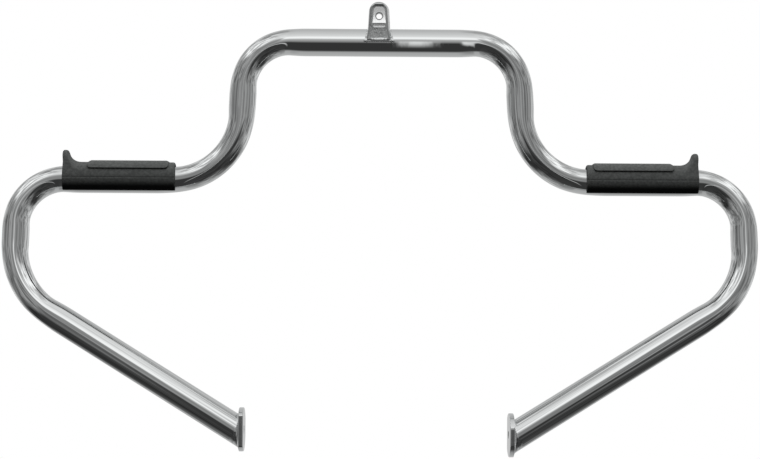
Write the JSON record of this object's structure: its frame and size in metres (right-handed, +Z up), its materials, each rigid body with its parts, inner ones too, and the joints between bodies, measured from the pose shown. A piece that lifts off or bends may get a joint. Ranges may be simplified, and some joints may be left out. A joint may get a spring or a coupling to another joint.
{
  "type": "motorcycle crash bar",
  "caption": "Bent chromed tube bar with a bolt tab on its top run, rubber foot rests on its level runs and a bolt plate on each leg.",
  "frame": {"origin": "middle of the tab's bolt hole, on the tab's flat back", "axes": "+X along the bar to the viewer's right, +Y away from the viewer through the tab's hole, +Z up"},
  "size_m": [0.8696, 0.1035, 0.5168],
  "materials": {
    "chrome": "bright plated over polished steel",
    "plated_weld": "plated over a weld bead",
    "rubber": "matt moulded"
  },
  "bodies": {
    "root": {"bar_tube": "chrome", "mounting_tab": "chrome", "tab_weld": "plated_weld", "end_plate_left": "chrome", "end_plate_right": "chrome", "end_weld_left": "plated_weld", "end_weld_right": "plated_weld", "foot_pad_left": "rubber", "foot_pad_right": "rubber"}
  },
  "joints": []
}
